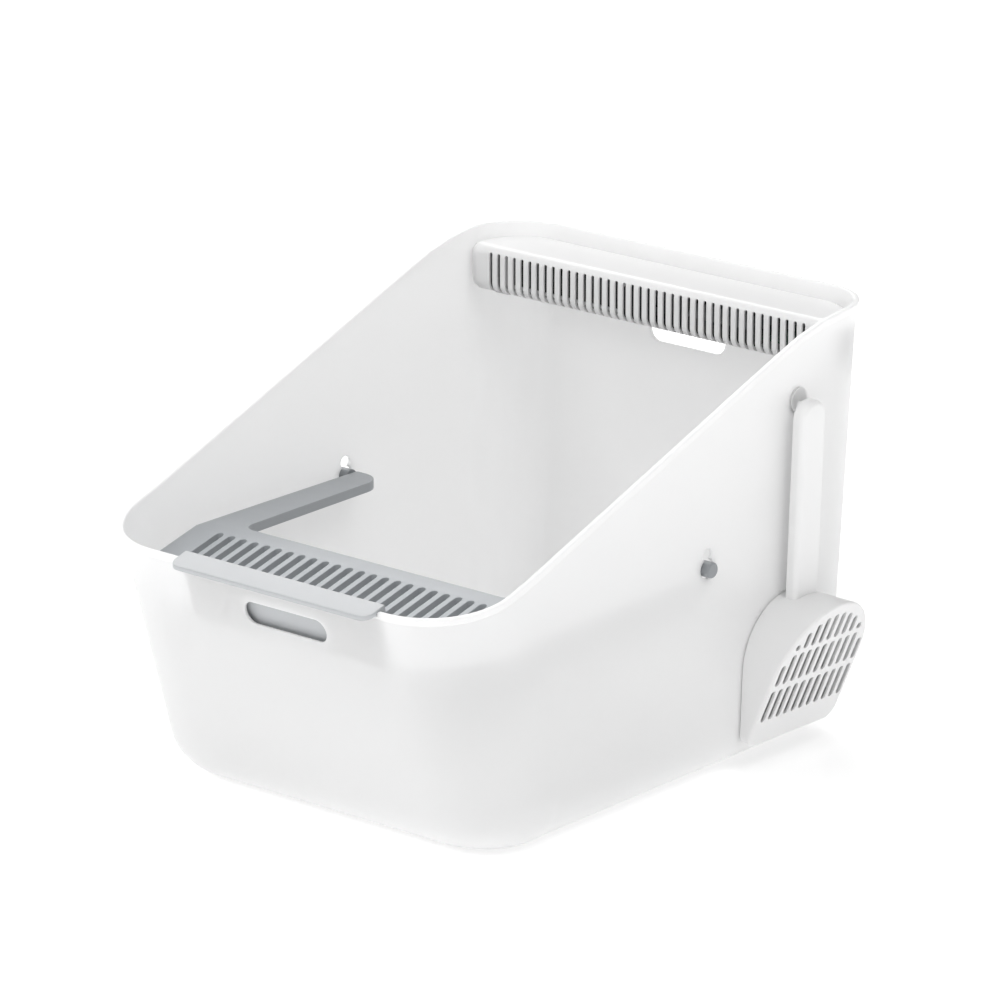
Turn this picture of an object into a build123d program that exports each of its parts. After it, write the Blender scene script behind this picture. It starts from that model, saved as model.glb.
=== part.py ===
from build123d import *
import math
import os

os.makedirs("parts", exist_ok=True)

# Driving dimensions, in millimetres. X is to the right seen from the front,
# Y to the rear, Z up. The origin is the centre of the tub on the floor.

# Tub
RIM_WIDTH = 378.7
RIM_DEPTH = 511.8
FRONT_HEIGHT = 205.7
REAR_HEIGHT = 353.0
SIDE_DRAFT = 0.0194
FRONT_LEAN = 0.2826
REAR_DRAFT = 0.0569
FRONT_CORNER = 68.0
REAR_CORNER = 51.0
BASE_RADIUS = 43.0
WALL = 3.0
RIM_FLARE = 2.0
RIM_BAND = 6.0
RIM_ROUND = 1.4
SLOPE_START_Y = -226.0
SLOPE_END_Y = 175.5
FRONT_BLEND = 350.0
REAR_BLEND = 244.0

# Hand-holds and keyholes
FRONT_X = 12.0
FRONT_HOLD = (82.0, 19.0)
FRONT_HOLD_Z = 174.8
REAR_HOLD = (76.0, 20.0)
REAR_HOLD_Z = 286.0
KEY_BIG = 15.6
KEY_SMALL = 10.6
KEY_RISE = 11.0

# Step
PIVOT_Y = 42.0
PIVOT_Z = 181.0
PIN_D = 12.5
PIN_PROUD = 6.0
STEP_TOP = 190.0
STEP_FOLD_Y = -150.0
STEP_TILT = 0.25
STEP_THICK = 9.0
STEP_REAR_Y = -132.0
ARM_DEPTH = 8.0
ARM_ROOT = (136.0, 168.0)
ARM_TIP = (149.0, 176.5)
ARM_END_Y = 48.0
SHANK_D = 5.0
SLOT_COUNT = 24
SLOT_PITCH = 12.13
SLOT_WIDTH = 6.6
SLOT_REAR_Y = -151.5

# Rim hook of the step
HOOK_LENGTH = 200.0
HOOK_GAP = 3.5
HOOK_SKIN = 2.6
LIP_SKIN = 3.7
LIP_Y = -253.5
LIP_TOP = 209.0
LIP_FRONT_Y = -268.0
NOTCH_GAP = 0.7

# Purifier
UNIT_HALF = 183.2
UNIT_FRONT = 193.0
UNIT_REAR = 249.5
UNIT_BOTTOM = 304.0
UNIT_TOP = 343.0
UNIT_SKIN = 2.2
VENT_COUNT = 40
VENT_PITCH = 8.16
VENT_WIDTH = 3.2
VENT_TOP = 338.0
VENT_END_Y = 206.5
FAN_Y = 222.0

# Scoop
SCOOP_Y = 148.0
SCOOP_MOUTH_Z = 21.0
SCOOP_ARC_Z = 83.0
SCOOP_TOP_Z = 294.8
SCOOP_HALF = 55.5
SCOOP_MOUTH_DEPTH = 7.6
SCOOP_RISE = 0.392
SCOOP_SKIN = 2.2
SCOOP_SWING = 1.0
GRIP_HALF = 15.0
GRIP_BACK = 9.0
GRIP_FRONT = 19.0
PEG_Z = 288.0
PEG_FLANGE = 10.0


def save(shape, node):
    export_step(shape, f"parts/{node}.step")


def half_width(z):
    return RIM_WIDTH / 2 - SIDE_DRAFT * (REAR_HEIGHT - z)


def front_y(z):
    return -RIM_DEPTH / 2 + FRONT_LEAN * (FRONT_HEIGHT - z)


def rear_y(z):
    return RIM_DEPTH / 2 - REAR_DRAFT * (REAR_HEIGHT - z)


def block(x0, x1, y0, y1, z0, z1):
    """A box between two corners."""
    centre = Pos((x0 + x1) / 2, (y0 + y1) / 2, (z0 + z1) / 2)
    return centre * Box(x1 - x0, y1 - y0, z1 - z0)


def rod(x, y, z0, z1, radius):
    """An upright cylinder."""
    return Pos(x, y, (z0 + z1) / 2) * Cylinder(radius, z1 - z0)


def bar_x(x0, x1, y, z, radius):
    """A cylinder along X."""
    return Pos((x0 + x1) / 2, y, z) * Rot(0, 90, 0) * Cylinder(radius, abs(x1 - x0))


def across(points, x0, x1, radii=()):
    """A side view in Y and Z, drawn across X. radii gives (point index, fillet) pairs."""
    face = make_face(Polyline(*points, close=True))
    for index, radius in radii:
        spot = Vector(*points[index], 0)
        corner = min(face.vertices(), key=lambda v: (v.center() - spot).length)
        face = fillet(corner, radius)
    return extrude(Plane.YZ.offset(x0) * face, amount=x1 - x0)


def level(z, grow=0.0):
    """The tub's outline at height z, grown outwards."""
    w = half_width(z) + grow
    front = front_y(z) - grow
    rear = rear_y(z) + grow
    face = Pos(0, (front + rear) / 2) * Rectangle(2 * w, rear - front)
    face = fillet(face.vertices().sort_by(Axis.Y)[:2], FRONT_CORNER + grow)
    face = fillet(face.vertices().sort_by(Axis.Y)[-2:], REAR_CORNER + grow)
    return Pos(0, 0, z) * face


def tub_form(z0, z1, grow=0.0, base_radius=0.0):
    """The tapered body of the tub between two heights."""
    form = loft([level(z0, grow), level(z1, grow)], ruled=True)
    if base_radius:
        form = fillet(form.edges().group_by(Axis.Z)[0], base_radius)
    return form


def above_rim(drop=0.0):
    """Everything above the line of the rim, which rises from front to rear."""
    reach = 400
    low = FRONT_HEIGHT - drop
    high = REAR_HEIGHT - drop
    points = [
        (-reach, low),
        (SLOPE_START_Y, low),
        (SLOPE_END_Y, high),
        (reach, high),
        (reach, high + 200),
        (-reach, high + 200),
    ]
    return across(points, -250, 250, [(1, FRONT_BLEND), (2, REAR_BLEND)])


def rim_height(y):
    """The height of the rim at y: level, blend, slope, blend, level."""
    angle = math.atan2(REAR_HEIGHT - FRONT_HEIGHT, SLOPE_END_Y - SLOPE_START_Y)
    low_cut = FRONT_BLEND * math.tan(angle / 2)
    high_cut = REAR_BLEND * math.tan(angle / 2)
    start = SLOPE_START_Y - low_cut
    end = SLOPE_END_Y + high_cut
    if y < start:
        return FRONT_HEIGHT
    if y > end:
        return REAR_HEIGHT
    if y < SLOPE_START_Y + low_cut * math.cos(angle):
        return FRONT_HEIGHT + FRONT_BLEND - math.sqrt(FRONT_BLEND**2 - (y - start) ** 2)
    if y > SLOPE_END_Y - high_cut * math.cos(angle):
        return REAR_HEIGHT - REAR_BLEND + math.sqrt(REAR_BLEND**2 - (end - y) ** 2)
    return FRONT_HEIGHT + (y - SLOPE_START_Y) * math.tan(angle)


# Tub shell

TALL = REAR_HEIGHT + 8
OVER_RIM = above_rim()


def on_rim(edge):
    """True for the two long edges that run round the top of the rim."""
    spot = edge @ 0.5
    return abs(spot.Z - rim_height(spot.Y)) < 0.2


def pill(width, height, x, z, y0, y1):
    """A long hole with round ends, cut along Y."""
    face = Pos(x, z) * SlotOverall(width, height)
    plane = Plane((0, y1, 0), x_dir=(1, 0, 0), z_dir=(0, -1, 0))
    return extrude(plane * face, amount=y1 - y0)


def lip_height(y):
    """The top of the lip, which lies square to the leaning front wall."""
    return LIP_TOP + FRONT_LEAN * (y - LIP_Y)


def lip_notch():
    """The shallow recess in the front rim that the lip sits in."""
    drop = LIP_SKIN + NOTCH_GAP
    reach = HOOK_LENGTH / 2 + NOTCH_GAP
    points = [
        (-280, lip_height(-280) - drop),
        (-240, lip_height(-240) - drop),
        (-240, 240),
        (-280, 240),
    ]
    return across(points, FRONT_X - reach, FRONT_X + reach)


def tub_shell():
    cavity = tub_form(WALL, TALL, -WALL, BASE_RADIUS - WALL)
    body = tub_form(0, TALL, 0, BASE_RADIUS)
    band = tub_form(FRONT_HEIGHT - 40, TALL, RIM_FLARE) & above_rim(RIM_BAND)
    shell = (body + band) - cavity - OVER_RIM
    shell = fillet(shell.edges().filter_by(on_rim), RIM_ROUND)
    front = front_y(FRONT_HOLD_Z)
    shell -= pill(*FRONT_HOLD, FRONT_X, FRONT_HOLD_Z, front - 12, front + 12)
    rear = rear_y(REAR_HOLD_Z)
    shell -= pill(*REAR_HOLD, 0, REAR_HOLD_Z, rear - 12, rear + 12)
    shell -= lip_notch()
    for side in (-1, 1):
        x0, x1 = sorted((side * 160, side * 200))
        shell -= bar_x(x0, x1, PIVOT_Y, PIVOT_Z, KEY_BIG / 2)
        shell -= bar_x(x0, x1, PIVOT_Y, PIVOT_Z + KEY_RISE, KEY_SMALL / 2)
    shell -= bar_x(170, 200, SCOOP_Y, PEG_Z, 4.1)
    return shell


save(tub_shell(), "tub_shell")


# Corner shelves under the purifier

SHELF_TOP = UNIT_BOTTOM - 0.3


def corner_shelf(side):
    inside = tub_form(SHELF_TOP - 20, SHELF_TOP + 20, -WALL - 0.1)
    plate = block(164, 190, 214, 256, SHELF_TOP - 4, SHELF_TOP)
    web = block(166, 190, 224, 227, SHELF_TOP - 9, SHELF_TOP - 3)
    shelf = (plate + web) & inside
    return shelf if side > 0 else mirror(shelf, about=Plane.YZ)


save(corner_shelf(-1), "left_shelf")
save(corner_shelf(1), "right_shelf")


# Peg that carries the scoop

def scoop_peg():
    wall = half_width(PEG_Z)
    peg = bar_x(wall - WALL - 2.4, wall + GRIP_FRONT - 4.9, SCOOP_Y, PEG_Z, 4)
    peg += bar_x(wall + 0.6, wall + 2.6, SCOOP_Y + 1, PEG_Z + 4.5, PEG_FLANGE)
    peg += bar_x(wall - WALL - 2.4, wall - WALL - 0.2, SCOOP_Y, PEG_Z, 7)
    return peg


save(scoop_peg(), "scoop_peg")


# Step tread: two arms, a rear bar and a slotted grating that falls to the front

TREAD_INSET = WALL + HOOK_GAP + HOOK_SKIN + 0.2
TREAD_LEVEL = 159.0


def tread_front(x):
    """Where the tread's front edge lies at x."""
    w = half_width(TREAD_LEVEL) - TREAD_INSET
    front = front_y(TREAD_LEVEL) + TREAD_INSET
    radius = FRONT_CORNER - TREAD_INSET
    beyond = max(0.0, abs(x) - (w - radius))
    return front + radius - math.sqrt(radius**2 - beyond**2)


def step_height(y):
    """The top of the tread at y."""
    return STEP_TOP + STEP_TILT * min(0.0, y - STEP_FOLD_Y)


def near(face, x, y):
    """The corner of a flat face that lies nearest a point."""
    spot = Vector(x, y, face.center().Z)
    return min(face.vertices(), key=lambda v: (v.center() - spot).length)


def step_plan():
    (inner, outer), (tip_in, tip_out) = ARM_ROOT, ARM_TIP
    front = level(TREAD_LEVEL, -TREAD_INSET) & block(-outer, outer, -300, STEP_REAR_Y, 0, 400)
    y = STEP_REAR_Y - 1
    corners = [(inner, y), (outer, y), (tip_out, ARM_END_Y), (tip_in, ARM_END_Y)]
    arm = Pos(0, 0, TREAD_LEVEL) * make_face(Polyline(*corners, close=True))
    plan = (front + arm + mirror(arm, about=Plane.YZ)).faces()[0]
    for side in (-1, 1):
        plan = fillet(near(plan, side * inner, STEP_REAR_Y), 14)
        plan = fillet(near(plan, side * tip_in, ARM_END_Y), 20)
        plan = fillet(near(plan, side * tip_out, ARM_END_Y), 3)
    return plan


def step_tread():
    column = extrude(step_plan(), amount=60, both=True)
    front = -262
    arm_top = PIVOT_Z + ARM_DEPTH / 2
    end_top = arm_top - 0.3
    side = [
        (front, step_height(front)),
        (STEP_FOLD_Y, STEP_TOP),
        (STEP_REAR_Y, STEP_TOP),
        (PIVOT_Y, arm_top),
        (ARM_END_Y + 5, end_top),
        (ARM_END_Y + 5, end_top - ARM_DEPTH),
        (PIVOT_Y, arm_top - ARM_DEPTH),
        (STEP_REAR_Y, STEP_TOP - ARM_DEPTH),
        (STEP_FOLD_Y, STEP_TOP - STEP_THICK),
        (front, step_height(front) - STEP_THICK),
    ]
    tread = column & across(side, -200, 200)
    for side_x in (-1, 1):
        x0, x1 = sorted((side_x * PIN_INNER, side_x * 200))
        tread -= bar_x(x0, x1, PIVOT_Y, PIVOT_Z, SHANK_D / 2 + 0.05)
        tread -= rod(side_x * PIN_SCREW_X, PIVOT_Y, 160, PIVOT_Z, 1.6)
    for i in range(SLOT_COUNT):
        x = (i - (SLOT_COUNT - 1) / 2) * SLOT_PITCH
        y0 = tread_front(x) + 6.5
        length = SLOT_REAR_Y - y0
        slot = Pos(x, y0 + length / 2, 100) * Rot(0, 0, 90) * SlotOverall(length, SLOT_WIDTH)
        tread -= extrude(slot, amount=110)
    for x in HOOK_SCREWS:
        tread -= rod(x, HOOK_SCREW_Y, 100, HOOK_SCREW_TOP, 1.7)
    return tread


PIN_INNER = 160.0
PIN_SCREW_X = 166.0
HOOK_SCREWS = [SLOT_PITCH * n for n in (-5, 2, 8)]
HOOK_SCREW_Y = tread_front(0) + 4.2
HOOK_SCREW_TOP = step_height(HOOK_SCREW_Y) - 2

save(step_tread(), "step_tread")


# Rim hook: the riser behind the front wall and the lip over the rim

def rim_hook():
    low = step_height(-236) - STEP_THICK - HOOK_SKIN - 0.8
    behind = WALL + HOOK_GAP
    under = STEP_THICK + 0.2
    flange_y = -219.0
    knee_y = front_y(LIP_TOP) + behind
    points = [
        (front_y(low) + behind, low),
        (knee_y, lip_height(knee_y) - LIP_SKIN),
        (LIP_FRONT_Y, lip_height(LIP_FRONT_Y) - LIP_SKIN),
        (LIP_FRONT_Y, lip_height(LIP_FRONT_Y)),
        (knee_y + HOOK_SKIN, lip_height(knee_y + HOOK_SKIN)),
        (front_y(low + HOOK_SKIN + 1) + behind + HOOK_SKIN, low + HOOK_SKIN + 1),
        (flange_y, step_height(flange_y) - under),
        (flange_y, step_height(flange_y) - under - HOOK_SKIN),
    ]
    x0 = FRONT_X - HOOK_LENGTH / 2
    hook = across(points, x0, x0 + HOOK_LENGTH)
    trim = Pos(FRONT_X, LIP_FRONT_Y + 50) * Rectangle(HOOK_LENGTH, 100)
    trim = fillet(trim.vertices().sort_by(Axis.Y)[:2], 9)
    hook &= extrude(trim, amount=400)
    for x in HOOK_SCREWS:
        hook -= rod(x, HOOK_SCREW_Y, 100, 200, 1.7)
    return hook


save(rim_hook(), "rim_hook")


def screw(x, y, head_z, top_z, radius):
    """A screw driven up from below."""
    return rod(x, y, head_z, head_z + 2, radius * 1.9) + rod(x, y, head_z + 1, top_z, radius)


def hook_screws():
    seat = step_height(HOOK_SCREW_Y) - STEP_THICK - HOOK_SKIN - 3.6
    return Compound([screw(x, HOOK_SCREW_Y, seat, HOOK_SCREW_TOP - 0.3, 1.5) for x in HOOK_SCREWS])


save(hook_screws(), "hook_screws")


# Pivot pins of the step and their grub screws

def pivot_pin(side):
    tip = half_width(PIVOT_Z) + PIN_PROUD
    shoulder = ARM_TIP[1] + 0.3
    pin = bar_x(shoulder, tip, PIVOT_Y, PIVOT_Z, PIN_D / 2)
    pin = chamfer(pin.edges().sort_by(Axis.X)[-1], 1)
    pin += bar_x(PIN_INNER + 0.3, shoulder + 1, PIVOT_Y, PIVOT_Z, SHANK_D / 2)
    pin -= rod(PIN_SCREW_X, PIVOT_Y, 160, PIVOT_Z, 1.6)
    return pin if side > 0 else mirror(pin, about=Plane.YZ)


def pin_screws():
    low = PIVOT_Z - ARM_DEPTH / 2 + 0.5
    return Compound([rod(s * PIN_SCREW_X, PIVOT_Y, low, PIVOT_Z - 0.4, 1.5) for s in (-1, 1)])


save(pivot_pin(-1), "left_pin")
save(pivot_pin(1), "right_pin")
save(pin_screws(), "pin_screws")


# Purifier cover: top, slotted front, ends and rear, with a floor opening

def unit_plan(inset):
    w = UNIT_HALF - inset
    front = UNIT_FRONT + inset
    rear = UNIT_REAR - inset
    face = Pos(0, (front + rear) / 2) * Rectangle(2 * w, rear - front)
    face = fillet(face.vertices().sort_by(Axis.Y)[:2], 10 - inset)
    return fillet(face.vertices().sort_by(Axis.Y)[-2:], 44 - inset)


def unit_form(inset):
    face = Pos(0, 0, UNIT_BOTTOM + inset) * unit_plan(inset)
    form = extrude(face, amount=UNIT_TOP - UNIT_BOTTOM - 2 * inset)
    form = fillet(form.edges().group_by(Axis.Z)[-1], 8 - inset)
    return fillet(form.edges().group_by(Axis.Z)[0], 9.5 - inset)


def floor_panel(gap):
    """The outline of the floor opening, inset by a gap."""
    w = 166 - gap
    face = Pos(0, 224) * Rectangle(2 * w, 34 - 2 * gap)
    face = fillet(face.vertices().sort_by(Axis.Y)[:2], 6)
    face = fillet(face.vertices().sort_by(Axis.Y)[-2:], 26)
    return Pos(0, 0, UNIT_BOTTOM) * face


POSTS = [(s * 158, y) for s in (-1, 1) for y in (213, 230)]
POST_LOW = UNIT_BOTTOM + UNIT_SKIN + 0.2


def purifier_cover():
    cover = unit_form(0) - unit_form(UNIT_SKIN)
    cover -= extrude(floor_panel(0), amount=UNIT_SKIN + 1)
    for x, y in POSTS:
        cover += rod(x, y, POST_LOW, UNIT_TOP - 1, 3.2)
        cover -= rod(x, y, UNIT_BOTTOM, UNIT_BOTTOM + 14, 1.5)
    for i in range(VENT_COUNT):
        x = (i - (VENT_COUNT - 1) / 2) * VENT_PITCH
        tall = 2 * (VENT_TOP - UNIT_BOTTOM)
        cover -= pill_up(x, VENT_TOP - tall / 2, tall, UNIT_FRONT - 5, VENT_END_Y)
    notch = rod(-87.5, UNIT_REAR - 0.4, UNIT_TOP - 1.5, UNIT_TOP + 2, 1.6)
    return cover - notch


def pill_up(x, z, tall, y0, y1):
    """An upright slot with round ends, cut along Y."""
    face = Pos(x, z) * Rot(0, 0, 90) * SlotOverall(tall, VENT_WIDTH)
    plane = Plane((0, y1, 0), x_dir=(1, 0, 0), z_dir=(0, -1, 0))
    return extrude(plane * face, amount=y1 - y0)


save(purifier_cover(), "purifier_cover")

SENSOR = (118.0, 226.0)
BUTTON = (131.0, 226.0)
SOCKET = (144.0, 226.0)
UNDER = UNIT_BOTTOM - 1.2
BOARD_Z = 313.0


def purifier_base():
    base = extrude(floor_panel(0.3), amount=UNIT_SKIN)
    for x, y in POSTS:
        base -= rod(x, y, UNIT_BOTTOM - 1, UNIT_BOTTOM + 4, 1.8)
    base -= rod(*SENSOR, UNIT_BOTTOM - 1, UNIT_BOTTOM + 4, 5.2)
    base -= rod(*BUTTON, UNIT_BOTTOM - 1, UNIT_BOTTOM + 4, 4.35)
    x, y = SOCKET
    base -= block(x - 4.8, x + 4.8, y - 2, y + 2, UNIT_BOTTOM - 1, UNIT_BOTTOM + 4)
    return base


def base_screws():
    return Compound([screw(x, y, UNIT_BOTTOM - 2.1, UNIT_BOTTOM + 12, 1.4) for x, y in POSTS])


save(purifier_base(), "purifier_base")
save(base_screws(), "base_screws")


# Fan: scroll, cover, motor and impeller on an upright shaft

SCROLL_LOW = UNIT_BOTTOM + UNIT_SKIN + 1.8
SCROLL_TOP = 330.0
SCROLL_R = 21.0
WHEEL_R = 18.5
SHAFT_R = 1.0


def fan_scroll():
    scroll = block(-28, 28, 199, 243.6, SCROLL_LOW, SCROLL_TOP)
    scroll -= rod(0, FAN_Y, SCROLL_LOW + 2, SCROLL_TOP + 1, SCROLL_R)
    scroll -= block(5, 21, 198, FAN_Y, SCROLL_LOW + 2, SCROLL_TOP + 1)
    return scroll


def fan_lid():
    lid = block(-28, 28, 199, 246, SCROLL_TOP + 0.1, SCROLL_TOP + 1.7)
    return lid - rod(0, FAN_Y, SCROLL_TOP - 1, SCROLL_TOP + 3, 13)


def fan_motor():
    low = SCROLL_LOW + 2.1
    return rod(0, FAN_Y, low, low + 7, 9) + rod(0, FAN_Y, low + 6, low + 15, SHAFT_R)


def fan_impeller():
    low = SCROLL_LOW + 3.5
    disc_z = low + 9
    wheel = rod(0, FAN_Y, disc_z, disc_z + 1.6, WHEEL_R)
    wheel += rod(0, FAN_Y, disc_z - 1, disc_z + 4, 3.5)
    for i in range(20):
        blade = Pos(14.5, 0, low + 7) * Rot(0, 0, 35) * Box(6.5, 0.9, 14)
        wheel += Pos(0, FAN_Y, 0) * Rot(0, 0, i * 18) * blade
    return wheel - rod(0, FAN_Y, low - 2, disc_z + 9, SHAFT_R + 0.05)


save(fan_scroll(), "fan_scroll")
save(fan_lid(), "fan_lid")
save(fan_motor(), "fan_motor")
save(fan_impeller(), "fan_impeller")


# Filter side: a frame with the carbon block, and the deodorant cartridge behind

def filter_frame():
    frame = block(-150, -31, 208, 222, 307, 338)
    return frame - block(-147.5, -33.5, 200, 230, 309.5, 335.5)


def carbon_filter():
    return block(-147.2, -33.8, 209, 221, 309.8, 335.2)


def deodorant_cartridge():
    body = fillet(block(-140, -40, 224, 244, 307, 334).edges(), 3)
    return body + rod(-90, 234, 333, 338, 6)


save(filter_frame(), "filter_frame")
save(carbon_filter(), "carbon_filter")
save(deodorant_cartridge(), "deodorant_cartridge")


# Power side: battery tray and cells, circuit board, sensor, button and socket

CELL_R = 9.0


def battery_tray():
    tray = block(34, 106, 199, 242, 308, 320)
    tray -= block(36, 104, 201, 241, 309.6, 330)
    return tray


def battery_cells():
    cells = []
    for y in (211, 231):
        cell = bar_x(37.5, 101.5, y, 309.8 + CELL_R, CELL_R)
        cells.append(cell + bar_x(101, 102.8, y, 309.8 + CELL_R, 3))
    return Compound(cells)


def circuit_board():
    board = block(110, 152, 205, 244, BOARD_Z, BOARD_Z + 1.6)
    board += block(114, 122, 210, 218, BOARD_Z + 1, BOARD_Z + 2.8)
    board += block(128, 140, 208, 214, BOARD_Z + 1, BOARD_Z + 7)
    board += rod(146, 236, BOARD_Z + 1, BOARD_Z + 12, 3.2)
    board += rod(136, 237, BOARD_Z + 1, BOARD_Z + 10, 2.6)
    board += block(114, 126, 234, 241, BOARD_Z + 1, BOARD_Z + 5)
    board += block(BUTTON[0] - 3, BUTTON[0] + 3, 223, 229, BOARD_Z - 2, BOARD_Z + 1)
    return board


def motion_sensor():
    body = rod(*SENSOR, UNDER + 2, BOARD_Z - 0.2, 4.8)
    return body + Pos(SENSOR[0], SENSOR[1], UNDER + 3.4) * Sphere(4.8)


def power_button():
    cap = rod(*BUTTON, UNDER, BOARD_Z - 3.6, 4)
    cap += rod(*BUTTON, UNIT_BOTTOM + UNIT_SKIN + 0.1, UNIT_BOTTOM + UNIT_SKIN + 1.3, 5.2)
    return fillet(cap.edges().sort_by(Axis.Z)[0], 0.8)


def charging_socket():
    x, y = SOCKET
    shell = block(x - 4.5, x + 4.5, y - 1.7, y + 1.7, UNIT_BOTTOM + 0.2, BOARD_Z - 0.2)
    shell -= block(x - 3.9, x + 3.9, y - 1.2, y + 1.2, UNIT_BOTTOM - 1, UNIT_BOTTOM + 6)
    return shell + block(x - 2.8, x + 2.8, y - 0.35, y + 0.35, UNIT_BOTTOM + 1.2, UNIT_BOTTOM + 7)


save(battery_tray(), "battery_tray")
save(battery_cells(), "battery_cells")
save(circuit_board(), "circuit_board")
save(motion_sensor(), "motion_sensor")
save(power_button(), "power_button")
save(charging_socket(), "charging_socket")


# Scoop, drawn upright and then leaned to lie along the right wall

def bowl_face(inset, low):
    """The bowl seen from the side of the tub: straight sides under a half round."""
    w = SCOOP_HALF - inset
    face = Pos(0, (low + SCOOP_ARC_Z) / 2) * Rectangle(2 * w, SCOOP_ARC_Z - low)
    return face + Pos(0, SCOOP_ARC_Z) * Circle(w)


def bowl_side(back, inset):
    """The bowl's depth from the wall, which grows from the mouth to the heel."""
    shift = inset * math.hypot(1, SCOOP_RISE)
    low, top = SCOOP_MOUTH_Z - 30, SCOOP_ARC_Z + SCOOP_HALF + 10
    depth = [SCOOP_MOUTH_DEPTH - shift + SCOOP_RISE * (z - SCOOP_MOUTH_Z) for z in (low, top)]
    face = make_face(Polyline((back, low), (depth[0], low), (depth[1], top), (back, top), close=True))
    return extrude(Plane.XZ.offset(-100) * face, amount=200)


def grip():
    z0 = SCOOP_ARC_Z + SCOOP_HALF - 8
    face = Pos(0, (z0 + SCOOP_TOP_Z) / 2) * Rectangle(2 * GRIP_HALF, SCOOP_TOP_Z - z0)
    face = fillet(face.vertices().sort_by(Axis.Y)[-2:], 13.5)
    handle = Pos(GRIP_BACK, 0, 0) * extrude(Plane.YZ * face, amount=GRIP_FRONT - GRIP_BACK)
    rim = handle.faces().sort_by(Axis.X)[-1].edges().sort_by(Axis.Z)[1:]
    return fillet(rim, 4.5)


def scoop():
    plan = bowl_face(0, SCOOP_MOUTH_Z)
    plan = fillet(plan.vertices().sort_by(Axis.Y)[:2], 12)
    bowl = extrude(Plane.YZ * plan, amount=90) & bowl_side(1, 0)
    plate = bowl.faces().filter_by(lambda f: f.normal_at().X > 0.8)[0]
    bowl = fillet(plate.edges(), 3)
    hollow = extrude(Plane.YZ * bowl_face(SCOOP_SKIN, SCOOP_MOUTH_Z - 10), amount=90)
    body = bowl + grip() - (hollow & bowl_side(-5, SCOOP_SKIN))
    for low, high, count in ((44.5, 72.5, 11), (77, 103, 11), (106.5, 140, 9)):
        for i in range(count):
            y = (i - (count - 1) / 2) * 9.6
            top = min(high, SCOOP_ARC_Z - 4.5 + math.sqrt(51**2 - y**2))
            face = Pos(y, (low + top) / 2) * Rot(0, 0, 90) * SlotOverall(top - low, 5.4)
            body -= extrude(Plane.YZ * face, amount=90)
    body -= bar_x(0, GRIP_FRONT - 3.5, 0, PEG_Z, 4.4)
    lean = math.degrees(math.atan(SIDE_DRAFT))
    hang = Pos(0, 0, PEG_Z) * Rot(-SCOOP_SWING, 0, 0) * Pos(0, 0, -PEG_Z) * body
    return Pos(half_width(0) - 0.3, SCOOP_Y, 0) * Rot(0, lean, 0) * hang


save(scoop(), "scoop")
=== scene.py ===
import math
import bmesh
import bpy
from mathutils import Matrix, Vector


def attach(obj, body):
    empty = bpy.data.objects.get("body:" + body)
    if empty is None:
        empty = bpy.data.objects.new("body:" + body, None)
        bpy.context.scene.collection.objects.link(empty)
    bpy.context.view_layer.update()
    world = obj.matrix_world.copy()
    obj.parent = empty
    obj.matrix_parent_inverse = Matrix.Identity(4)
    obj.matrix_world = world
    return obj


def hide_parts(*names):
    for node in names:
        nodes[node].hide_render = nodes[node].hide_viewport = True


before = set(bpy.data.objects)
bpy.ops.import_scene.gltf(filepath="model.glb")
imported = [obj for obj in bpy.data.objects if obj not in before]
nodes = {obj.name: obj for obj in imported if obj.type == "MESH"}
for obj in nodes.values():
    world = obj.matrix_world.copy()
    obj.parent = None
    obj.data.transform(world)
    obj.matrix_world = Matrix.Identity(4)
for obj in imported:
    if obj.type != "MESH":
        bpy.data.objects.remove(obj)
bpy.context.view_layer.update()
mm = 0.001
print("frame loaded:", len(nodes), "nodes")

# Material groups: effects that several finishes share

def newGroup(name, inputs, outputs):
    group = bpy.data.node_groups.new(name, "ShaderNodeTree")
    for label, kind, value in inputs:
        socket = group.interface.new_socket(label, in_out="INPUT", socket_type=kind)
        socket.default_value = value
    for label, kind in outputs:
        group.interface.new_socket(label, in_out="OUTPUT", socket_type=kind)
    source = group.nodes.new("NodeGroupInput")
    sink = group.nodes.new("NodeGroupOutput")
    return group, source, sink


def mathNode(tree, operation, a, b):
    node = tree.nodes.new("ShaderNodeMath")
    node.operation = operation
    for socket, value in zip(node.inputs, (a, b)):
        if isinstance(value, (int, float)):
            socket.default_value = value
        else:
            tree.links.new(value, socket)
    return node.outputs[0]


def noiseNode(tree, vector, scale, detail=2.0, rough=0.5):
    node = tree.nodes.new("ShaderNodeTexNoise")
    node.inputs["Detail"].default_value = detail
    node.inputs["Roughness"].default_value = rough
    tree.links.new(vector, node.inputs["Vector"])
    if isinstance(scale, (int, float)):
        node.inputs["Scale"].default_value = scale
    else:
        tree.links.new(scale, node.inputs["Scale"])
    return node.outputs["Fac"]


def mixColor(tree, fac, a, b):
    node = tree.nodes.new("ShaderNodeMix")
    node.data_type = "RGBA"
    for socket, value in zip((node.inputs[0], node.inputs[6], node.inputs[7]), (fac, a, b)):
        if isinstance(value, (int, float, tuple)):
            socket.default_value = value
        else:
            tree.links.new(value, socket)
    return node.outputs[2]


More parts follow.
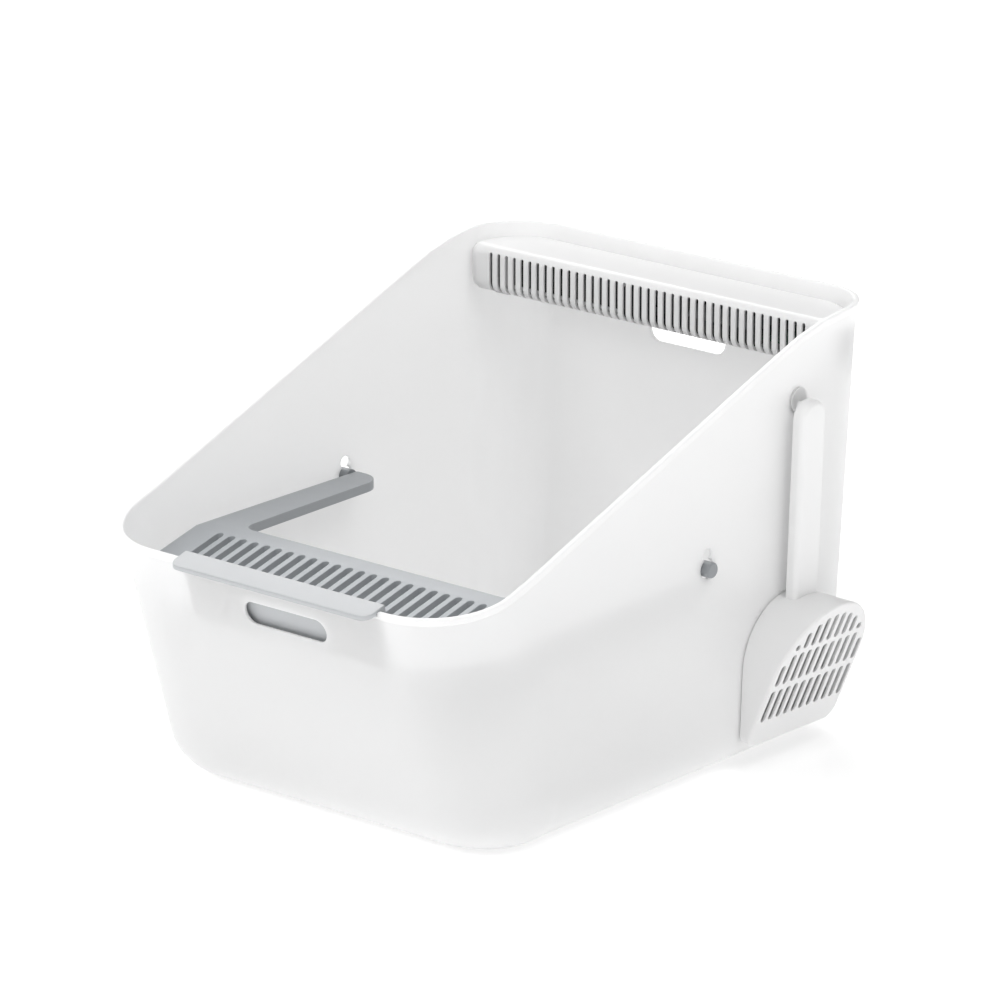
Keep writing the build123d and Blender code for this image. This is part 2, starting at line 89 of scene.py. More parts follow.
def buildMouldedSkin():
    # moulded plastic: faint flow clouds, fine spark-eroded grain, uneven gloss
    group, source, sink = newGroup(
        "mouldedSkin",
        [
            ("Vector", "NodeSocketVector", (0, 0, 0)),
            ("Tint", "NodeSocketColor", (0.8, 0.8, 0.8, 1)),
            ("Shade", "NodeSocketColor", (0.76, 0.76, 0.76, 1)),
            ("Cloud Scale", "NodeSocketFloat", 9.0),
            ("Grain Scale", "NodeSocketFloat", 1400.0),
            ("Gloss Low", "NodeSocketFloat", 0.34),
            ("Gloss Span", "NodeSocketFloat", 0.12),
        ],
        [
            ("Color", "NodeSocketColor"),
            ("Roughness", "NodeSocketFloat"),
            ("Height", "NodeSocketFloat"),
        ],
    )
    link = group.links.new
    clouds = noiseNode(group, source.outputs["Vector"], source.outputs["Cloud Scale"], 3, 0.55)
    grain = noiseNode(group, source.outputs["Vector"], source.outputs["Grain Scale"], 2, 0.6)
    streak = noiseNode(group, source.outputs["Vector"], 60, 2, 0.5)
    color = mixColor(group, clouds, source.outputs["Shade"], source.outputs["Tint"])
    link(color, sink.inputs["Color"])
    uneven = mathNode(group, "MULTIPLY", streak, source.outputs["Gloss Span"])
    link(mathNode(group, "ADD", source.outputs["Gloss Low"], uneven), sink.inputs["Roughness"])
    soft = mathNode(group, "MULTIPLY", clouds, 0.35)
    link(mathNode(group, "ADD", grain, soft), sink.inputs["Height"])
    return group


def buildEdgeMask():
    # paler edges where the surface is pointed, broken up by noise
    group, source, sink = newGroup(
        "edgeMask",
        [("Speck Scale", "NodeSocketFloat", 40.0), ("Vector", "NodeSocketVector", (0, 0, 0))],
        [("Mask", "NodeSocketFloat")],
    )
    geometry = group.nodes.new("ShaderNodeNewGeometry")
    ramp = group.nodes.new("ShaderNodeMapRange")
    ramp.inputs["From Min"].default_value = 0.52
    ramp.inputs["From Max"].default_value = 0.62
    group.links.new(geometry.outputs["Pointiness"], ramp.inputs["Value"])
    speck = noiseNode(group, source.outputs["Vector"], source.outputs["Speck Scale"], 2, 0.5)
    group.links.new(mathNode(group, "MULTIPLY", ramp.outputs[0], speck), sink.inputs["Mask"])
    return group


mouldedSkin = buildMouldedSkin()
edgeMask = buildEdgeMask()


def groupNode(tree, group):
    node = tree.nodes.new("ShaderNodeGroup")
    node.node_tree = group
    return node


scatterDepth = 14 * mm
bumpDepth = 0.2 * mm


def makePlastic(name, look):
    material = bpy.data.materials.new(name)
    material.use_nodes = True
    tree = material.node_tree
    shader = tree.nodes["Principled BSDF"]
    where = tree.nodes.new("ShaderNodeTexCoord").outputs["Object"]
    skin = groupNode(tree, mouldedSkin)
    skin.inputs["Tint"].default_value = (*look["tint"], 1)
    skin.inputs["Shade"].default_value = (*look["shade"], 1)
    skin.inputs["Cloud Scale"].default_value = look.get("cloud", 9.0)
    skin.inputs["Grain Scale"].default_value = look.get("grain", 1400.0)
    skin.inputs["Gloss Low"].default_value = look["rough"]
    skin.inputs["Gloss Span"].default_value = look.get("span", 0.12)
    tree.links.new(where, skin.inputs["Vector"])
    color = skin.outputs["Color"]
    if look.get("edge"):
        mask = groupNode(tree, edgeMask)
        tree.links.new(where, mask.inputs["Vector"])
        color = mixColor(tree, mask.outputs["Mask"], color, (*look["edge"], 1))
    tree.links.new(color, shader.inputs["Base Color"])
    tree.links.new(skin.outputs["Roughness"], shader.inputs["Roughness"])
    bump = tree.nodes.new("ShaderNodeBump")
    bump.inputs["Strength"].default_value = look.get("bump", 0.12)
    bump.inputs["Distance"].default_value = bumpDepth
    tree.links.new(skin.outputs["Height"], bump.inputs["Height"])
    tree.links.new(bump.outputs["Normal"], shader.inputs["Normal"])
    shader.inputs["Metallic"].default_value = look.get("metal", 0.0)
    shader.inputs["IOR"].default_value = 1.46
    shader.inputs["Coat Weight"].default_value = look.get("coat", 0.0)
    shader.inputs["Subsurface Weight"].default_value = look.get("glow", 0.0)
    shader.inputs["Subsurface Radius"].default_value = (1, 1, 1)
    shader.inputs["Subsurface Scale"].default_value = scatterDepth
    return material


looks = {
    "whiteSatin": {
        "tint": (0.9, 0.9, 0.9),
        "shade": (0.88, 0.88, 0.88),
        "rough": 0.33,
        "glow": 1.0,
    },
    "whiteSmooth": {
        "tint": (0.9, 0.9, 0.9),
        "shade": (0.88, 0.88, 0.88),
        "rough": 0.28,
        "glow": 0.15,
    },
    "scoopWhite": {
        "tint": (0.91, 0.91, 0.91),
        "shade": (0.89, 0.89, 0.89),
        "rough": 0.3,
        "glow": 0.15,
    },
    "greySatin": {
        "tint": (0.42, 0.44, 0.46),
        "shade": (0.39, 0.41, 0.43),
        "rough": 0.36,
        "edge": (0.52, 0.54, 0.56),
    },
    # the tread's grey painted lighter over the whole hook: painted light standing in for the
    # light falling on the lip's top
    "lipGreyPaintedLight": {
        "tint": (0.5, 0.515, 0.53),
        "shade": (0.47, 0.485, 0.5),
        "rough": 0.26,
        "edge": (0.6, 0.61, 0.62),
    },
    "pinGrey": {"tint": (0.3, 0.315, 0.33), "shade": (0.27, 0.285, 0.3), "rough": 0.32},
    "blackMatt": {"tint": (0.03, 0.03, 0.032), "shade": (0.02, 0.02, 0.022), "rough": 0.5},
    "zincSteel": {
        "tint": (0.62, 0.62, 0.61),
        "shade": (0.5, 0.5, 0.5),
        "rough": 0.28,
        "metal": 1.0,
        "cloud": 300.0,
    },
    "motorCan": {
        "tint": (0.5, 0.5, 0.52),
        "shade": (0.4, 0.4, 0.42),
        "rough": 0.3,
        "metal": 1.0,
        "cloud": 120.0,
    },
    "carbonFoam": {
        "tint": (0.035, 0.035, 0.035),
        "shade": (0.01, 0.01, 0.01),
        "rough": 0.85,
        "cloud": 700.0,
        "grain": 500.0,
        "bump": 0.9,
    },
    "gelCase": {
        "tint": (0.35, 0.62, 0.5),
        "shade": (0.28, 0.55, 0.43),
        "rough": 0.18,
        "coat": 0.4,
    },
    "cellWrap": {
        "tint": (0.2, 0.21, 0.22),
        "shade": (0.17, 0.18, 0.19),
        "rough": 0.22,
        "coat": 0.5,
    },
    "solderMask": {
        "tint": (0.03, 0.09, 0.06),
        "shade": (0.02, 0.07, 0.045),
        "rough": 0.25,
        "cloud": 260.0,
    },
    "milkLens": {
        "tint": (0.78, 0.78, 0.78),
        "shade": (0.74, 0.74, 0.74),
        "rough": 0.2,
        "coat": 0.6,
    },
}
finish = {name: makePlastic(name, look) for name, look in looks.items()}
print("finishes made:", len(finish))

# Mesh helpers

def startForm():
    return bmesh.new()


def shadeForm(form, limit=32):
    for face in form.faces:
        face.smooth = True
    for edge in form.edges:
        edge.smooth = edge.is_manifold and edge.calc_face_angle(0) < math.radians(limit)


def addPiece(name, form, body, material, replaced=()):
    shadeForm(form)
    mesh = bpy.data.meshes.new(name)
    form.to_mesh(mesh)
    form.free()
    piece = bpy.data.objects.new(name, mesh)
    bpy.context.scene.collection.objects.link(piece)
    mesh.materials.append(material)
    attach(piece, body)
    if replaced:
        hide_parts(*replaced)
    return piece


def softNormals(piece):
    weighted = piece.modifiers.new("evenShading", "WEIGHTED_NORMAL")
    weighted.keep_sharp = True
    weighted.weight = 80


def boxForm(size, centre, rounding=0.0, segments=8, axis=None):
    form = startForm()
    bmesh.ops.create_cube(form, size=1)
    bmesh.ops.scale(form, vec=Vector(size), verts=form.verts)
    if rounding:
        pick = [e for e in form.edges if abs((e.verts[0].co - e.verts[1].co)[axis]) > 1e-6]
        bevelEdges(form, pick, rounding, segments)
    bmesh.ops.translate(form, vec=Vector(centre), verts=form.verts)
    return form


def bevelEdges(form, edges, width, segments):
    bmesh.ops.bevel(
        form,
        geom=edges,
        offset=width,
        offset_type="OFFSET",
        segments=segments,
        profile=0.5,
        affect="EDGES",
        clamp_overlap=False,
        material=-1,
    )


def drumForm(radius, length, centre, axis, segments=48):
    form = startForm()
    bmesh.ops.create_cone(
        form, cap_ends=True, segments=segments, radius1=radius, radius2=radius, depth=length
    )
    turn = {"X": Matrix.Rotation(math.pi / 2, 3, "Y"), "Y": Matrix.Rotation(math.pi / 2, 3, "X")}
    if axis in turn:
        bmesh.ops.rotate(form, matrix=turn[axis], verts=form.verts)
    bmesh.ops.translate(form, vec=Vector(centre), verts=form.verts)
    return form


def combine(form, cuts, joins=()):
    # joins some forms to a form, cuts others out of it and gives back the new form
    things = []
    for index, each in enumerate([form, *joins, *cuts]):
        mesh = bpy.data.meshes.new(f"work{index}")
        each.to_mesh(mesh)
        each.free()
        thing = bpy.data.objects.new(f"work{index}", mesh)
        bpy.context.scene.collection.objects.link(thing)
        things.append(thing)
    for index, tool in enumerate(things[1:]):
        step = things[0].modifiers.new("step", "BOOLEAN")
        step.operation = "UNION" if index < len(joins) else "DIFFERENCE"
        step.solver = "EXACT"
        step.object = tool
    graph = bpy.context.evaluated_depsgraph_get()
    done = bpy.data.meshes.new_from_object(things[0].evaluated_get(graph))
    result = startForm()
    result.from_mesh(done)
    meshes = [thing.data for thing in things] + [done]
    for thing in things:
        bpy.data.objects.remove(thing)
    for mesh in meshes:
        bpy.data.meshes.remove(mesh)
    return result


def sharpEdges(form, degrees):
    limit = math.radians(degrees)
    return [e for e in form.edges if e.is_manifold and e.calc_face_angle(0) > limit]


def refineNode(name, pieceName, body, material, bevel):
    # a copy of a node's mesh, merged, with flat areas joined and hard edges rounded
    form = startForm()
    form.from_mesh(nodes[name].data)
    bmesh.ops.remove_doubles(form, verts=form.verts, dist=0.002 * mm)
    bmesh.ops.dissolve_limit(
        form, angle_limit=math.radians(0.6), verts=form.verts, edges=form.edges
    )
    bevelEdges(form, sharpEdges(form, 40), bevel, 2)
    softNormals(addPiece(pieceName, form, body, material, [name]))


# Tub: tapered bin whose rim climbs from the low front to the high rear
tub = {
    "rimWidth": 378.7 * mm,
    "rimDepth": 511.8 * mm,
    "frontHeight": 205.7 * mm,
    "rearHeight": 353.0 * mm,
    "sideDraft": 0.0194,
    "frontLean": 0.2826,
    "rearDraft": 0.0569,
    "frontCorner": 68 * mm,
    "rearCorner": 51 * mm,
    "baseRadius": 43 * mm,
    "wall": 3 * mm,
    "rimFlare": 2.0 * mm,
    "rimBand": 6 * mm,
    "rimRound": 1.5 * mm,
    "slopeStart": -226 * mm,
    "slopeEnd": 175.5 * mm,
    "frontBlend": 350 * mm,
    "rearBlend": 244 * mm,
    "cornerSegments": 20,
    "wallSpans": 16,
    "wallRings": 16,
    "baseRings": 12,
    "frontX": 12 * mm,
    "holdSize": (82 * mm, 19 * mm),
    "holdZ": 174.8 * mm,
    "rearHoldSize": (76 * mm, 20 * mm),
    "rearHoldZ": 286 * mm,
    "pivotY": 42 * mm,
    "pivotZ": 181 * mm,
    "keyBig": 7.8 * mm,
    "keySmall": 5.3 * mm,
    "keyRise": 11 * mm,
    "pegY": 148 * mm,
    "pegZ": 292 * mm,
    "pegHole": 4.1 * mm,
    "lipTop": 209 * mm,
    "lipY": -253.5 * mm,
    "notchDepth": 4.4 * mm,
    "notchLength": 201.4 * mm,
    "holeRound": 0.7 * mm,
}


def halfWidth(z):
    return tub["rimWidth"] / 2 - tub["sideDraft"] * (tub["rearHeight"] - z)


def frontY(z):
    return -tub["rimDepth"] / 2 + tub["frontLean"] * (tub["frontHeight"] - z)


def rearY(z):
    return tub["rimDepth"] / 2 - tub["rearDraft"] * (tub["rearHeight"] - z)


def rimHeight(y):
    # level, blend, slope, blend, level
    low, high = tub["frontHeight"], tub["rearHeight"]
    a, b = tub["slopeStart"], tub["slopeEnd"]
    angle = math.atan2(high - low, b - a)
    cutA = tub["frontBlend"] * math.tan(angle / 2)
    cutB = tub["rearBlend"] * math.tan(angle / 2)
    if y < a - cutA:
        return low
    if y > b + cutB:
        return high
    if y < a + cutA * math.cos(angle):
        r = tub["frontBlend"]
        return low + r - math.sqrt(r * r - (y - a + cutA) ** 2)
    if y > b - cutB * math.cos(angle):
        r = tub["rearBlend"]
        return high - r + math.sqrt(r * r - (b + cutB - y) ** 2)
    return low + (y - a) * math.tan(angle)


def tubOutline(form):
    # a rectangle with its corners rounded and its long sides divided
    bmesh.ops.create_grid(form, x_segments=1, y_segments=1, size=0.5)
    w, front, rear = halfWidth(0), frontY(0), rearY(0)
    for v in form.verts:
        v.co = Vector((math.copysign(w, v.co.x), front if v.co.y < 0 else rear, 0))
    for limit, radius in ((front, tub["frontCorner"]), (rear, tub["rearCorner"])):
        bmesh.ops.bevel(
            form,
            geom=[v for v in form.verts if abs(v.co.y - limit) < 1e-6],
            offset=radius,
            offset_type="OFFSET",
            segments=tub["cornerSegments"],
            profile=0.5,
            affect="VERTICES",
            material=-1,
        )
    sides = [e for e in form.edges if abs(e.verts[0].co.y - e.verts[1].co.y) > 0.2]
    bmesh.ops.subdivide_edges(form, edges=sides, cuts=tub["wallSpans"] - 1)


def tagOutline(form):
    # each point keeps its plan place, its outward direction and its share of the front
    names = ("planX", "planY", "outX", "outY", "side", "share")
    tags = {name: form.verts.layers.float.new(name) for name in names}
    w, front, rear = halfWidth(0), frontY(0), rearY(0)
    yA = front + tub["frontCorner"]
    yB = rear - tub["rearCorner"]
    for v in form.verts:
        x, y = v.co.x, v.co.y
        side = math.copysign(1, x)
        share = min(1, max(0, (yB - y) / (yB - yA)))
        radius = tub["frontCorner"] if y < 0 else tub["rearCorner"]
        centre = Vector((side * (w - radius), min(max(y, yA), yB), 0))
        out = (v.co - centre).normalized()
        if abs(x) < w - radius + 1e-6:
            out = Vector((0, math.copysign(1, y), 0))
        for name, value in zip(names, (x, y, out.x, out.y, side, share)):
            v[tags[name]] = value
    return tags


def buildTub():
    form = startForm()
    tubOutline(form)
    tags = tagOutline(form)

    def planPoint(v, z, out):
        get = {name: v[layer] for name, layer in tags.items()}
        x = get["planX"] + get["side"] * (halfWidth(z) - halfWidth(0)) + get["outX"] * out
        front = get["share"] * (frontY(z) - frontY(0))
        rear = (1 - get["share"]) * (rearY(z) - rearY(0))
        return x, get["planY"] + front + rear + get["outY"] * out

    def leanOf(v):
        get = {name: v[layer] for name, layer in tags.items()}
        lean = abs(get["outX"]) * tub["sideDraft"]
        lean -= get["outY"] * get["share"] * tub["frontLean"]
        return lean + get["outY"] * (1 - get["share"]) * tub["rearDraft"]

    def basePoint(v, part, skin):
        lean = leanOf(v)
        angle = math.atan(lean)
        turn = part * (math.pi / 2 - angle)
        big = tub["baseRadius"]
        out = big * lean - big / math.cos(angle) + (big - skin) * math.sin(turn)
        x, y = planPoint(v, 0, out)
        return Vector((x, y, big - (big - skin) * math.cos(turn)))

    def wallPoint(v, part, skin, drop):
        angle = math.atan(leanOf(v))
        low = tub["baseRadius"] - (tub["baseRadius"] - skin) * math.sin(angle)
        top = rimPoint(v, -skin, drop).z
        z = low + part * (top - low)
        x, y = planPoint(v, z, -skin / math.cos(angle))
        return Vector((x, y, z))

    def rimPoint(v, out, drop):
        z = tub["frontHeight"]
        for _ in range(12):
            x, y = planPoint(v, z, out)
            z = rimHeight(y) - drop
        x, y = planPoint(v, z, out)
        return Vector((x, y, z))

    def nextRing(ring, place):
        made = bmesh.ops.extrude_edge_only(form, edges=ring)["geom"]
        points = {g for g in made if isinstance(g, bmesh.types.BMVert)}
        for v in points:
            v.co = place(v)
        edges = [g for g in made if isinstance(g, bmesh.types.BMEdge)]
        return [e for e in edges if all(v in points for v in e.verts)]

    for v in form.verts:
        v.co = basePoint(v, 0, 0)
    ring = [e for e in form.edges if e.is_boundary]
    wall, rings = tub["wall"], tub["wallRings"]
    for step in range(1, tub["baseRings"] + 1):
        ring = nextRing(ring, lambda v: basePoint(v, step / tub["baseRings"], 0))
    under = tub["rimBand"] + 0.5 * mm
    for step in range(1, rings + 1):
        ring = nextRing(ring, lambda v: wallPoint(v, step / rings, 0, under))
    flare, r = tub["rimFlare"], tub["rimRound"]
    bead = [(0.3 * flare, under - 0.45 * mm), (0.75 * flare, under - 0.6 * mm)]
    bead.append((flare, under - 1.1 * mm))
    turns = [math.radians(a) for a in (0, 22.5, 45, 67.5, 90)]
    bead += [(flare - r * (1 - math.cos(t)), r * (1 - math.sin(t))) for t in turns]
    bead += [(-wall + r * (1 - math.sin(t)), r * (1 - math.cos(t))) for t in turns]
    for out, drop in bead:
        ring = nextRing(ring, lambda v: rimPoint(v, out, drop))
    for step in range(rings - 1, -1, -1):
        ring = nextRing(ring, lambda v: wallPoint(v, step / rings, wall, r))
    for step in range(tub["baseRings"] - 1, -1, -1):
        ring = nextRing(ring, lambda v: basePoint(v, step / tub["baseRings"], wall))
    bmesh.ops.contextual_create(form, geom=ring)
    bmesh.ops.recalc_face_normals(form, faces=form.faces)
    return form


# a rounded end a hair short of a full half circle, and how far a cut reaches
endShare = 2.002
cutReach = 30 * mm


def tubHoles():
    w, h = tub["holdSize"]
    front = frontY(tub["holdZ"])
    at = (tub["frontX"], front, tub["holdZ"])
    holes = [boxForm((w, cutReach, h), at, h / endShare, 12, 1)]
    w, h = tub["rearHoldSize"]
    rear = rearY(tub["rearHoldZ"])
    at = (0, rear, tub["rearHoldZ"])
    holes.append(boxForm((w, cutReach, h), at, h / endShare, 12, 1))
    for side in (-1, 1):
        x = side * halfWidth(tub["pivotZ"])
        at = (x, tub["pivotY"], tub["pivotZ"])
        holes.append(drumForm(tub["keyBig"], cutReach, at, "X"))
        at = (x, tub["pivotY"], tub["pivotZ"] + tub["keyRise"])
        holes.append(drumForm(tub["keySmall"], cutReach, at, "X", 40))
    at = (halfWidth(tub["pegZ"]), tub["pegY"], tub["pegZ"])
    holes.append(drumForm(tub["pegHole"], cutReach, at, "X", 32))
    lean = math.atan(tub["frontLean"])
    notch = boxForm((tub["notchLength"], cutReach, cutReach), (0, 0, cutReach / 2))
    bmesh.ops.rotate(notch, matrix=Matrix.Rotation(lean, 3, "X"), verts=notch.verts)
    low = tub["lipTop"] - tub["notchDepth"]
    bmesh.ops.translate(notch, vec=(tub["frontX"], tub["lipY"], low), verts=notch.verts)
    return [*holes, notch]


tubForm = combine(buildTub(), tubHoles())
bevelEdges(tubForm, sharpEdges(tubForm, 45), tub["holeRound"], 3)
tubPiece = addPiece("tub", tubForm, "tub", finish["whiteSatin"], ["tub_shell"])
softNormals(tubPiece)
print("tub built:", len(tubPiece.data.polygons), "faces")

# Carried pieces whose construction shape is already right
carried = (
    ("step_tread", "stepTread", "step", "greySatin", "grey_plastic", 0.6 * mm),
    # the hook takes the tread's grey painted lighter, as painted light on the lip
    ("rim_hook", "rimHook", "step", "lipGreyPaintedLight", "grey_plastic", 0.8 * mm),
    ("left_pin", "leftPin", "step", "pinGrey", "grey_plastic", 0.4 * mm),
    ("right_pin", "rightPin", "step", "pinGrey", "grey_plastic", 0.4 * mm),
    ("purifier_cover", "purifierCover", "purifier", "whiteSmooth", "pale_plastic", 0.4 * mm),
    ("scoop_peg", "scoopPeg", "tub", "whiteSatin", "white_plastic", 0.4 * mm),
)
for name, pieceName, body, look, slotName, bevel in carried:
    refineNode(name, pieceName, body, finish[look], bevel)
print("carried pieces refined:", len(carried))

# Scoop: a half-round bowl whose slotted plate slopes out to the heel, and a flat grip
scoop = {
    "half": 55.5 * mm,
    "mouth": 21 * mm,
    "arc": 83 * mm,
    # 0.6 mm less than the solid's, which keeps the bowl inside the CAD box
    "mouthDepth": 7.0 * mm,
    "rise": 0.392,
    "skin": 2.2 * mm,
    "back": 1 * mm,
    "corner": 12 * mm,
    "plateRound": 3 * mm,
    "gripHalf": 15 * mm,
    "gripTop": 294.8 * mm,
    "gripBack": 9.0 * mm,
    "gripFront": 19.0 * mm,
    "gripRound": 4.5 * mm,
    # foot, head and count of each row
    "slotRows": (
        (44.5 * mm, 72.5 * mm, 11),
        (77 * mm, 103 * mm, 11),
        (106.5 * mm, 140 * mm, 9),
    ),
    "slotPitch": 9.6 * mm,
    "slotWidth": 5.4 * mm,
    "slotArc": 51 * mm,
    "slotArcDrop": 4.5 * mm,
    "archFlat": 0.6 * mm,
    "gripArc": 13.5 * mm,
    "gripRoot": 8 * mm,
    "gripSkin": 3.5 * mm,
    "pegZ": 288 * mm,
    "pegHole": 4.4 * mm,
    "swing": math.radians(-1.0),
    "placeY": 148 * mm,
}


def plateForm(half, low, top, roundLow, roundTop, back, front):
    # a face in the plane of the wall with rounded corners, pulled out to front(z)
    form = startForm()
    bmesh.ops.create_grid(form, x_segments=1, y_segments=1, size=0.5)
    for v in form.verts:
        v.co = Vector((back, math.copysign(half, v.co.x), top if v.co.y > 0 else low))
    for level, radius in ((low, roundLow), (top, roundTop)):
        if radius:
            bmesh.ops.bevel(
                form,
                geom=[v for v in form.verts if abs(v.co.z - level) < 1e-6],
                offset=radius,
                offset_type="OFFSET",
                segments=24,
                profile=0.5,
                affect="VERTICES",
                material=-1,
            )
    bmesh.ops.remove_doubles(form, verts=form.verts, dist=1e-6)
    made = bmesh.ops.extrude_face_region(form, geom=form.faces[:])["geom"]
    for v in made:
        if isinstance(v, bmesh.types.BMVert):
            v.co.x = front(v.co.z)
    bmesh.ops.recalc_face_normals(form, faces=form.faces)
    return form


def outerRim(form, lowest):
    # the edges round the outer face, above a height
    outer = max(form.faces, key=lambda f: f.normal.x * f.calc_area())
    return [e for e in outer.edges if max(v.co.z for v in e.verts) > lowest]


def scoopSlots():
    slots = []
    for low, high, count in scoop["slotRows"]:
        for index in range(count):
            y = (index - (count - 1) / 2) * scoop["slotPitch"]
            reach = scoop["arc"] - scoop["slotArcDrop"]
            reach += math.sqrt(scoop["slotArc"] ** 2 - y * y)
            top = min(high, reach)
            size = (0.2, scoop["slotWidth"], top - low)
            at = (0.05, y, (low + top) / 2)
            slots.append(boxForm(size, at, scoop["slotWidth"] / endShare, 6, 0))
    return slots


def buildScoop():
    skinDepth = scoop["skin"] * math.hypot(1, scoop["rise"])

    def depth(z):
        return scoop["mouthDepth"] + scoop["rise"] * (z - scoop["mouth"])

    top = scoop["arc"] + scoop["half"]
    half, skin, flat = scoop["half"], scoop["skin"], scoop["archFlat"]
    bowl = plateForm(
        half, scoop["mouth"], top, scoop["corner"], half - flat, scoop["back"], depth
    )
    bevelEdges(bowl, outerRim(bowl, -1), scoop["plateRound"], 5)
    hollow = plateForm(
        half - skin,
        scoop["mouth"] - 10 * mm,
        top - skin,
        0,
        half - skin - flat,
        -5 * mm,
        lambda z: depth(z) - skinDepth,
    )
    grip = plateForm(
        scoop["gripHalf"],
        top - scoop["gripRoot"],
        scoop["gripTop"],
        0,
        scoop["gripArc"],
        scoop["gripBack"],
        lambda z: scoop["gripFront"],
    )
    bevelEdges(grip, outerRim(grip, top - scoop["gripRoot"] + 1 * mm), scoop["gripRound"], 6)
    pegReach = 2 * (scoop["gripFront"] - scoop["gripSkin"])
    peg = drumForm(scoop["pegHole"], pegReach, (0, 0, scoop["pegZ"]), "X")
    form = combine(bowl, [hollow, peg, *scoopSlots()], [grip])
    bevelEdges(form, sharpEdges(form, 50), 0.3 * mm, 2)
    lift = Vector((0, 0, scoop["pegZ"]))
    bmesh.ops.translate(form, vec=-lift, verts=form.verts)
    bmesh.ops.rotate(form, matrix=Matrix.Rotation(scoop["swing"], 3, "X"), verts=form.verts)
    bmesh.ops.translate(form, vec=lift, verts=form.verts)
    lean = math.atan(tub["sideDraft"])
    bmesh.ops.rotate(form, matrix=Matrix.Rotation(lean, 3, "Y"), verts=form.verts)
    place = Vector((halfWidth(0) - 0.3 * mm, scoop["placeY"], 0))
    bmesh.ops.translate(form, vec=place, verts=form.verts)
    return form


scoopForm = buildScoop()
scoopPiece = addPiece(
    "scoopPiece", scoopForm, "scoop", finish["scoopWhite"], ["scoop"]
)
softNormals(scoopPiece)
print("scoop built:", len(scoopPiece.data.polygons), "faces")

# Nodes kept as built, most of them out of sight in the purifier
inner = {
    "left_shelf": "whiteSatin",
    "right_shelf": "whiteSatin",
    "purifier_base": "whiteSmooth",
    "fan_scroll": "blackMatt",
    "fan_lid": "blackMatt",
    "fan_motor": "motorCan",
    "fan_impeller": "blackMatt",
    "filter_frame": "whiteSmooth",
    "carbon_filter": "carbonFoam",
    "deodorant_cartridge": "gelCase",
    "battery_tray": "blackMatt",
    "battery_cells": "cellWrap",
    "circuit_board": "solderMask",
    "motion_sensor": "milkLens",
    "power_button": "whiteSmooth",
    "charging_socket": "zincSteel",
    "hook_screws": "zincSteel",
    "pin_screws": "zincSteel",
    "base_screws": "zincSteel",
}
for name, look in inner.items():
    nodes[name].data.materials.clear()
    nodes[name].data.materials.append(finish[look])
print("inner pieces finished:", len(inner))

# Studio: pale floor, soft lights and the camera at the photograph's angle
studio = {
    "azimuth": 40.304,
    "elevation": 18.29,
    "distance": 5.0045,
    "target": (0, 0, 0.15),
    "lens": 231.2,
    "shift": (0.0137, 0.0714),
    "floorSize": 14.0,
    "floorGlow": (0.34, 1.0),
    "glowReach": (0.5, 1.5),
    "sky": 0.33,
}


# name, azimuth, elevation, distance, size, power
lamps = (
    ("keyLight", -25, 42, 3.0, 1.6, 24),
    ("sideLight", 72, 54, 3.0, 1.6, 20.5),
    ("topLight", 0, 88, 2.6, 1.4, 8),
    ("rimLight", -127, 40, 3.0, 1.8, 26),
)


def directionFrom(azimuth, elevation):
    a, e = math.radians(azimuth), math.radians(elevation)
    return Vector((math.sin(a) * math.cos(e), -math.cos(a) * math.cos(e), math.sin(e)))


def addCamera():
    camera = bpy.data.objects.new("photoCamera", bpy.data.cameras.new("photoCamera"))
    bpy.context.scene.collection.objects.link(camera)
    back = directionFrom(studio["azimuth"], studio["elevation"])
    camera.location = Vector(studio["target"]) + back * studio["distance"]
    camera.rotation_mode = "QUATERNION"
    camera.rotation_quaternion = (-back).to_track_quat("-Z", "Y")
    camera.data.sensor_width = 36
    camera.data.lens = studio["lens"]
    camera.data.shift_x, camera.data.shift_y = studio["shift"]
    camera.data.clip_end = 60
    bpy.context.scene.camera = camera


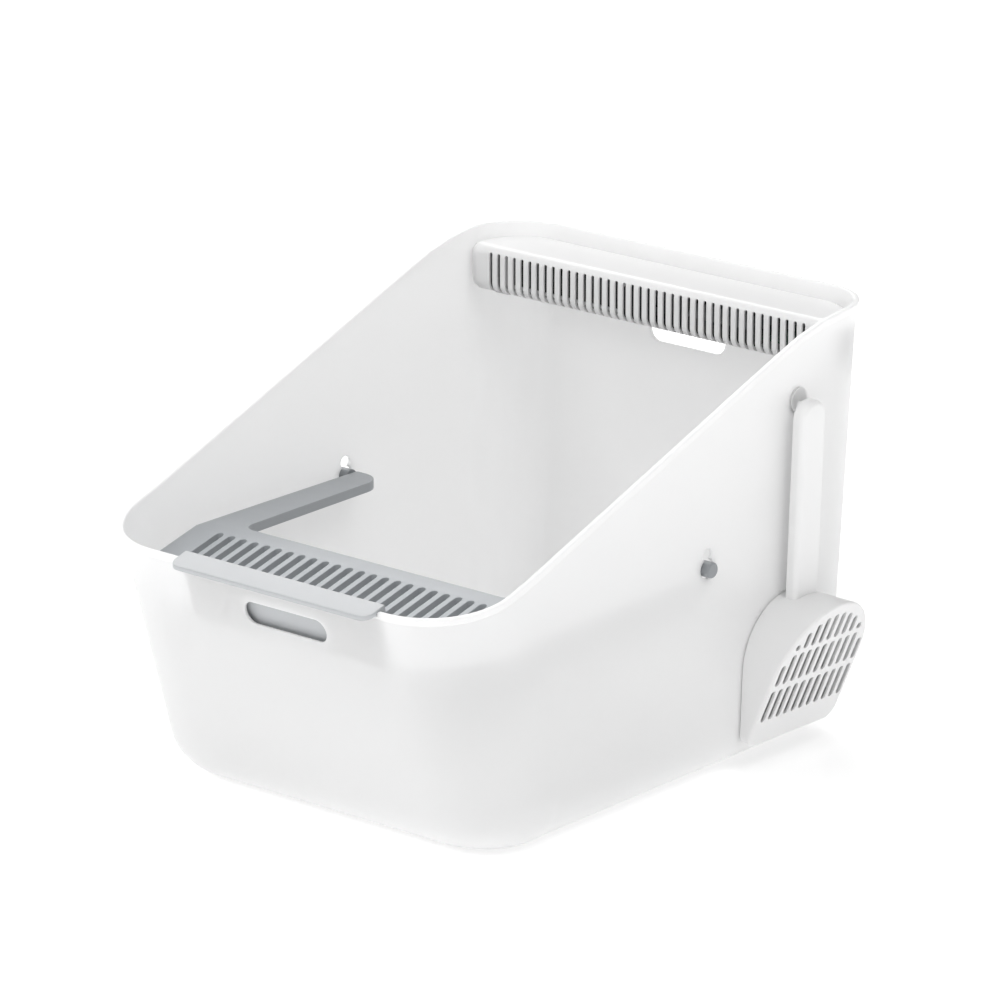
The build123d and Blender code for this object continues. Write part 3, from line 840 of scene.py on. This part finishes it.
def addLight(name, azimuth, elevation, distance, size, power):
    lamp = bpy.data.lights.new(name, "AREA")
    lamp.shape = "DISK"
    lamp.size = size
    lamp.energy = power
    light = bpy.data.objects.new(name, lamp)
    bpy.context.scene.collection.objects.link(light)
    back = directionFrom(azimuth, elevation)
    light.location = back * distance
    light.rotation_mode = "QUATERNION"
    light.rotation_quaternion = (-back).to_track_quat("-Z", "Y")


def addFloor():
    form = startForm()
    bmesh.ops.create_grid(form, x_segments=2, y_segments=2, size=studio["floorSize"])
    mesh = bpy.data.meshes.new("floor")
    form.to_mesh(mesh)
    form.free()
    floor = bpy.data.objects.new("floor", mesh)
    bpy.context.scene.collection.objects.link(floor)
    floor.location.z = -0.0002
    material = bpy.data.materials.new("paleFloor")
    material.use_nodes = True
    tree = material.node_tree
    shader = tree.nodes["Principled BSDF"]
    where = tree.nodes.new("ShaderNodeTexCoord").outputs["Object"]
    cloud = noiseNode(tree, where, 3, 2)
    color = mixColor(tree, cloud, (0.94, 0.94, 0.94, 1), (0.96, 0.96, 0.96, 1))
    tree.links.new(color, shader.inputs["Base Color"])
    shader.inputs["Roughness"].default_value = 0.9
    shader.inputs["Specular IOR Level"].default_value = 0.0
    shader.inputs["Emission Color"].default_value = (1, 1, 1, 1)
    reach = tree.nodes.new("ShaderNodeVectorMath")
    reach.operation = "LENGTH"
    tree.links.new(where, reach.inputs[0])
    sweep = tree.nodes.new("ShaderNodeMapRange")
    sweep.interpolation_type = "SMOOTHSTEP"
    limits = (*studio["glowReach"], *studio["floorGlow"])
    for label, value in zip(("From Min", "From Max", "To Min", "To Max"), limits):
        sweep.inputs[label].default_value = value
    tree.links.new(reach.outputs["Value"], sweep.inputs["Value"])
    tree.links.new(sweep.outputs[0], shader.inputs["Emission Strength"])
    mesh.materials.append(material)


def addSky():
    world = bpy.data.worlds.new("studio")
    world.use_nodes = True
    background = world.node_tree.nodes["Background"]
    background.inputs["Color"].default_value = (1, 1, 1, 1)
    background.inputs["Strength"].default_value = studio["sky"]
    bpy.context.scene.world = world


addCamera()
addFloor()
addSky()
for lamp in lamps:
    addLight(*lamp)
bpy.context.scene.view_settings.view_transform = "Standard"
bpy.context.scene.view_settings.look = "None"
print("studio set")
